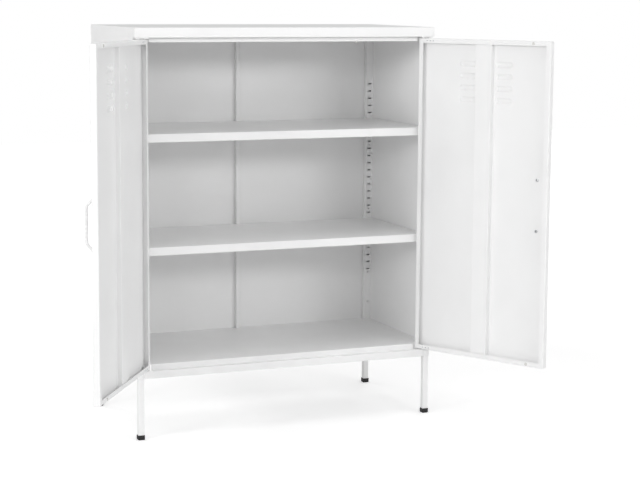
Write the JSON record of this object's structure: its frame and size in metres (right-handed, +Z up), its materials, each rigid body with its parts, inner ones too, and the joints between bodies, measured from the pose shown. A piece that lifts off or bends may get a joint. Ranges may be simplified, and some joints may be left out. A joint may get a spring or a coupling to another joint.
{
  "type": "storage cabinet",
  "caption": "Low white steel cabinet on slim legs, its louvred doors standing open, with shelves hung on slotted posts and bow handles.",
  "frame": {"origin": "on the ground, under the middle of the body, half way between the four legs' outer faces", "axes": "+X to the right as seen from the front, +Y from the doors towards the back, +Z up"},
  "size_m": [1.1696, 0.7343, 1.015],
  "materials": {
    "white_enamel": "satin white powder coat on folded sheet",
    "white_handle": "smooth white coat on a cast bow",
    "zinc_plate": "bright zinc plate",
    "black_plastic": "matt black moulded nylon",
    "clear_pad": "soft translucent polyurethane"
  },
  "bodies": {
    "cabinet": {"top_panel": "white_enamel", "header_rail": "white_enamel", "left_side_panel": "white_enamel", "right_side_panel": "white_enamel", "front_left_post": "white_enamel", "front_right_post": "white_enamel", "rear_left_post": "white_enamel", "rear_right_post": "white_enamel", "left_back_panel": "white_enamel", "right_back_panel": "white_enamel", "back_joint_strip": "white_enamel", "floor_panel": "white_enamel", "front_base_rail": "white_enamel", "rear_base_rail": "white_enamel", "upper_shelf": "white_enamel", "lower_shelf": "white_enamel", "upper_shelf_clips": "zinc_plate", "lower_shelf_clips": "zinc_plate", "front_left_socket": "white_enamel", "front_right_socket": "white_enamel", "rear_left_socket": "white_enamel", "rear_right_socket": "white_enamel", "front_left_leg": "white_enamel", "front_right_leg": "white_enamel", "rear_left_leg": "white_enamel", "rear_right_leg": "white_enamel", "front_left_foot": "black_plastic", "front_right_foot": "black_plastic", "rear_left_foot": "black_plastic", "rear_right_foot": "black_plastic", "leg_bolts": "white_enamel", "leg_nuts": "zinc_plate", "post_screws": "white_enamel", "top_left_bracket": "white_enamel", "bottom_left_bracket": "white_enamel", "top_right_bracket": "white_enamel", "bottom_right_bracket": "white_enamel", "bracket_screws": "zinc_plate", "pivot_pins": "zinc_plate", "header_buffer": "clear_pad"},
    "left_door": {"left_door": "white_enamel", "left_stiffener": "white_enamel", "left_handle": "white_handle", "left_handle_screws": "zinc_plate", "left_hinge_plates": "white_enamel", "left_hinge_rivets": "zinc_plate", "left_bushes": "black_plastic", "left_door_buffers": "clear_pad"},
    "right_door": {"right_door": "white_enamel", "right_stiffener": "white_enamel", "right_handle": "white_handle", "right_handle_screws": "zinc_plate", "right_hinge_plates": "white_enamel", "right_hinge_rivets": "zinc_plate", "right_bushes": "black_plastic", "right_door_buffers": "clear_pad"}
  },
  "joints": [
    {"name": "left_door_hinge", "type": "hinge", "parent": "cabinet", "child": "left_door", "pos_m": [-0.3805, -0.194, 0.58], "axis": [0, 0, -1], "range_deg": [-123.5, 56.5]},
    {"name": "right_door_hinge", "type": "hinge", "parent": "cabinet", "child": "right_door", "pos_m": [0.3805, -0.194, 0.58], "axis": [0, 0, 1], "range_deg": [-118, 62]}
  ]
}
